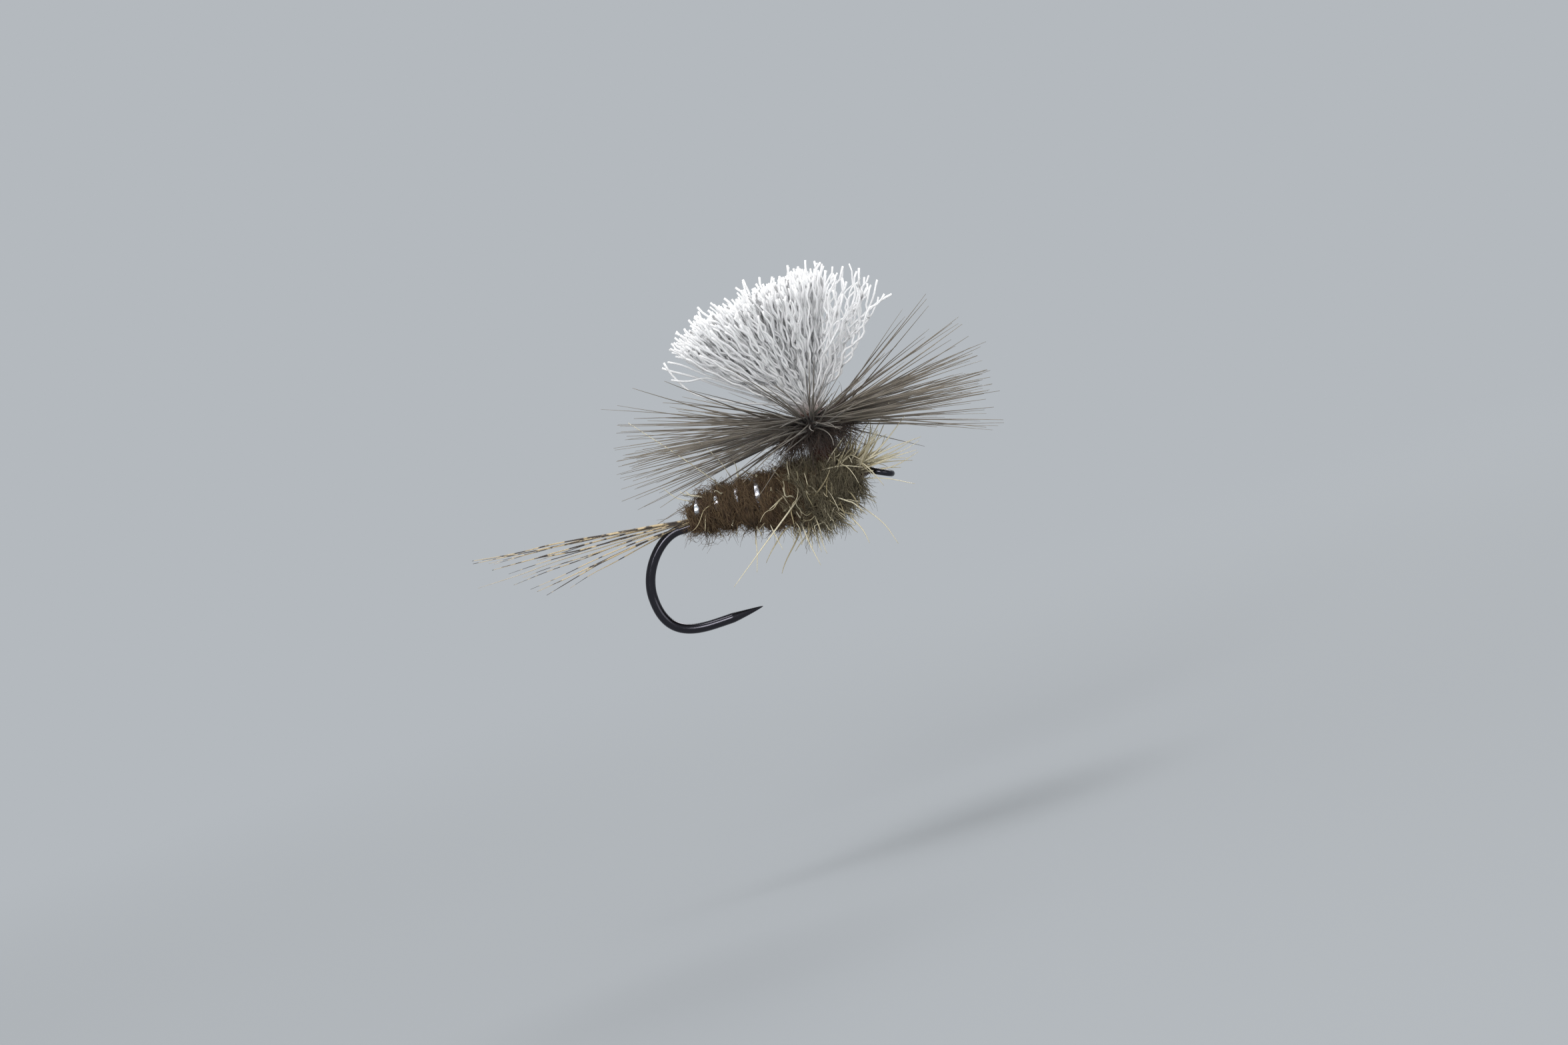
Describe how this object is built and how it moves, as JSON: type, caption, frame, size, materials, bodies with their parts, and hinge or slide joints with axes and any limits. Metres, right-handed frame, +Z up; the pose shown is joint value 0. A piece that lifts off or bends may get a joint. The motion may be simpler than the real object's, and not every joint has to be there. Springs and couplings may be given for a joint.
{
  "type": "dry fly",
  "caption": "Parachute dry fly on a barbless down-eye hook: barred fibre tail, ribbed fur body, white yarn wing post and a level hackle wound round it.",
  "frame": {"origin": "centre of the hook wire at the bottom of the bend, where a tying vise or a fly clip holds it", "axes": "+X along the shank towards the eye, +Z up the wing post, +Y across the fly"},
  "size_m": [0.0269, 0.0187, 0.0167],
  "materials": {
    "hook_wire": "black nickel, smooth and bright",
    "tying_thread": "waxed polyester thread, wound tight",
    "tail_fibre": "barred feather fibre, cream and dark brown",
    "abdomen_fur": "dubbed fur, reddish brown, matt",
    "rib": "flat pearl tinsel",
    "thorax_fur": "dubbed hare fur, olive tan, spiky",
    "guard_hair": "stiff pale hair",
    "wing_yarn": "crimped white polypropylene yarn",
    "hackle": "brown dun feather, glossy and thin"
  },
  "bodies": {
    "root": {"abdomen_dubbing": "abdomen_fur", "hackle_barb_01": "hackle", "hackle_barb_02": "hackle", "hackle_barb_03": "hackle", "hackle_barb_04": "hackle", "hackle_barb_05": "hackle", "hackle_barb_06": "hackle", "hackle_barb_07": "hackle", "hackle_barb_08": "hackle", "hackle_barb_09": "hackle", "hackle_barb_10": "hackle", "hackle_barb_11": "hackle", "hackle_barb_12": "hackle", "hackle_barb_13": "hackle", "hackle_barb_14": "hackle", "hackle_barb_15": "hackle", "hackle_barb_16": "hackle", "hackle_barb_17": "hackle", "hackle_barb_18": "hackle", "hackle_barb_19": "hackle", "hackle_barb_20": "hackle", "hackle_barb_21": "hackle", "hackle_barb_22": "hackle", "hackle_barb_23": "hackle", "hackle_barb_24": "hackle", "hackle_barb_25": "hackle", "hackle_barb_26": "hackle", "hackle_barb_27": "hackle", "hackle_barb_28": "hackle", "hackle_quill": "hackle", "hackle_tie_off": "tying_thread", "hook": "hook_wire", "post_thread_wraps": "tying_thread", "rib_tinsel": "rib", "tail_fibre_01": "tail_fibre", "tail_fibre_02": "tail_fibre", "tail_fibre_03": "tail_fibre", "tail_fibre_04": "tail_fibre", "tail_fibre_05": "tail_fibre", "tail_fibre_06": "tail_fibre", "tail_fibre_07": "tail_fibre", "tail_fibre_08": "tail_fibre", "tail_fibre_09": "tail_fibre", "tail_fibre_10": "tail_fibre", "tail_fibre_11": "tail_fibre", "tail_fibre_12": "tail_fibre", "tail_lashing": "tying_thread", "thorax_dubbing": "thorax_fur", "thorax_guard_hair_01": "guard_hair", "thorax_guard_hair_02": "guard_hair", "thorax_guard_hair_03": "guard_hair", "thorax_guard_hair_04": "guard_hair", "thorax_guard_hair_05": "guard_hair", "thorax_guard_hair_06": "guard_hair", "thread_underbody": "tying_thread", "whip_finish_head": "tying_thread", "wing_yarn": "wing_yarn"}
  },
  "joints": []
}
